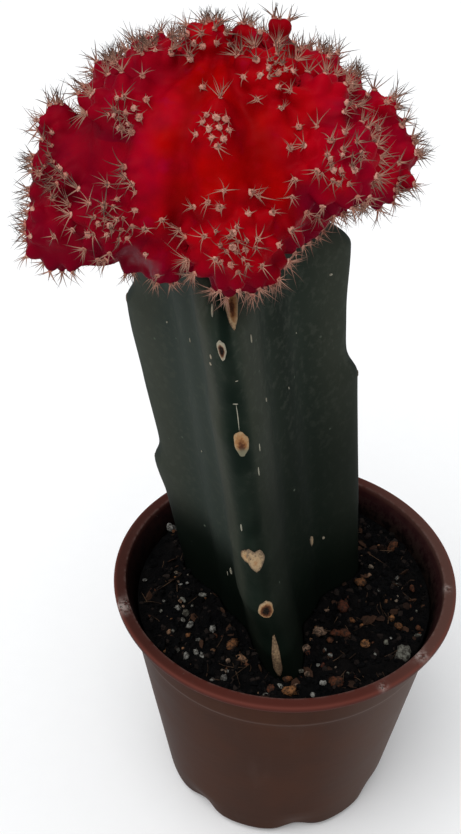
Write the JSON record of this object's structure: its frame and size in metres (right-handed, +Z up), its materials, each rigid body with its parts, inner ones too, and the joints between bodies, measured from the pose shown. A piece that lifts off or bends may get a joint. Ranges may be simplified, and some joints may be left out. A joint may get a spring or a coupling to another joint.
{
  "type": "potted moon cactus",
  "caption": "Small red moon cactus with clustered spiny offsets, grafted on a dark green three-angled stem in a reddish-brown plastic nursery pot.",
  "frame": {"origin": "centre of the flat underside on which the pot rests", "axes": "+Z up along the plant's height, +X to the right and -Y towards a viewer who faces the front rib of the stem"},
  "size_m": [0.0743, 0.064, 0.1546],
  "materials": {
    "pot_plastic": "satin reddish-brown thermoformed plastic",
    "potting_mix": "rough dark peat with perlite and bark crumbs",
    "rootstock_skin": "waxy dark green cactus skin",
    "scion_skin": "satin red cactus skin"
  },
  "bodies": {
    "root": {"pot": "pot_plastic", "soil": "potting_mix", "rootstock": "rootstock_skin", "scion": "scion_skin"}
  },
  "joints": []
}
